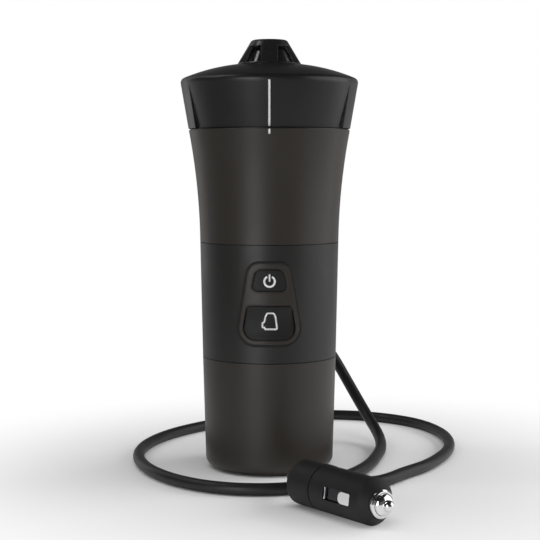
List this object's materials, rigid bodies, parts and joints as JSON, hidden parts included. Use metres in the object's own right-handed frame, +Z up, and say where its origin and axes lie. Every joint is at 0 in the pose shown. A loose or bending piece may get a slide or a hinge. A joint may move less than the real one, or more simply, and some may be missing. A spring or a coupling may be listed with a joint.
{
  "type": "car espresso maker",
  "caption": "Hand-held espresso maker for a car: a flared body with a screw-on lid and pouring spout, a power and a brew button, and a cord to a socket plug.",
  "frame": {"origin": "middle of the foot ring on the surface that the machine stands on", "axes": "+Z up along the body's axis to the spout, -Y towards the side with the buttons, +X to the right seen from there"},
  "size_m": [0.1755, 0.2661, 0.22],
  "materials": {
    "brown_shell": "satin, dark grey brown",
    "black_shell": "satin, near black",
    "gloss_black": "gloss",
    "inner_plastic": "matt",
    "food_plastic": "satin",
    "rubber": "matt",
    "silicone": "matt",
    "cord_jacket": "semi matt",
    "plug_plastic": "satin",
    "chrome": "polished",
    "steel": "plain",
    "aluminium": "satin",
    "brass": "plain",
    "board": "semi gloss",
    "fuse_glass": "clear"
  },
  "bodies": {
    "base": {"foot_ring": "rubber", "base_plate": "brown_shell", "base_screws": "steel", "bottom_shell": "brown_shell", "motor_damper": "rubber", "pump_motor": "steel", "pump_housing": "inner_plastic", "pump_membrane": "silicone", "pump_cover": "inner_plastic", "pump_screws": "steel", "inner_frame": "inner_plastic", "frame_screws": "steel", "control_board": "board", "tact_switches": "inner_plastic", "board_screws": "steel", "middle_sleeve": "black_shell", "button_panel": "brown_shell", "strain_relief": "cord_jacket", "gland_nut": "inner_plastic", "upper_shell": "brown_shell", "boiler_tank": "aluminium", "tank_gasket": "silicone", "heater_band": "steel", "heater_screw": "steel", "check_valve": "inner_plastic", "safety_valve": "brass", "air_tube": "silicone", "thermostat": "steel", "thermal_link": "steel", "neck_ring": "black_shell", "tie_screws": "steel", "plug_body": "plug_plastic", "plug_rear_cap": "plug_plastic", "contact_carrier": "inner_plastic", "plug_fuse": "fuse_glass", "plug_nut": "chrome", "cord": "cord_jacket"},
    "rotor": {"motor_shaft": "steel", "pump_crank": "inner_plastic"},
    "power_cap": {"power_button": "black_shell"},
    "brew_cap": {"brew_button": "black_shell"},
    "pad_tray": {"pod_holder": "food_plastic"},
    "seal": {"lid_seal": "silicone"},
    "lid": {"lid_shell": "black_shell", "brew_head": "food_plastic", "shower_screen": "steel", "screen_screws": "steel", "lid_screws": "steel", "spout_cage": "gloss_black", "spout_nozzle": "gloss_black"},
    "tip": {"plug_tip": "chrome", "plug_tip_spring": "steel"},
    "front_contact": {"plug_contact_front": "chrome"},
    "back_contact": {"plug_contact_back": "chrome"}
  },
  "joints": [
    {"name": "lid_lift", "type": "slide", "parent": "base", "child": "seal", "axis": [0, 0, 1], "range_m": [0, 0.06]},
    {"name": "lid_turn", "type": "hinge", "parent": "seal", "child": "lid", "pos_m": [0, 0, 0.18], "axis": [0, 0, 1], "range_deg": [0, 45]},
    {"name": "pod_holder_lift", "type": "slide", "parent": "base", "child": "pad_tray", "axis": [0, 0, 1], "range_m": [0, 0.03]},
    {"name": "power_button_press", "type": "slide", "parent": "base", "child": "power_cap", "axis": [0, 1, 0], "range_m": [0, 0.0008], "stiffness_N_per_m": 400, "springref_m": -0.0008},
    {"name": "brew_button_press", "type": "slide", "parent": "base", "child": "brew_cap", "axis": [0, 1, 0], "range_m": [0, 0.0008], "stiffness_N_per_m": 400, "springref_m": -0.0008},
    {"name": "motor_spin", "type": "hinge", "parent": "base", "child": "rotor", "pos_m": [0, 0, 0.03], "axis": [0, 0, 1], "continuous": true},
    {"name": "plug_tip_press", "type": "slide", "parent": "base", "child": "tip", "axis": [-0.6004, 0.7997, 0], "range_m": [0, 0.0025], "stiffness_N_per_m": 600, "springref_m": -0.002, "deforming": ["plug_tip_spring"]},
    {"name": "front_contact_press", "type": "slide", "parent": "base", "child": "front_contact", "axis": [0.7942, 0.5963, -0.1167], "range_m": [0, 0.001], "stiffness_N_per_m": 500, "springref_m": -0.001},
    {"name": "back_contact_press", "type": "slide", "parent": "base", "child": "back_contact", "axis": [-0.7942, -0.5963, 0.1167], "range_m": [0, 0.001], "stiffness_N_per_m": 500, "springref_m": -0.001}
  ],
  "couplings": [
    {"joint": "pod_holder_lift", "follows": "lid_lift", "ratio": 0.45}
  ]
}
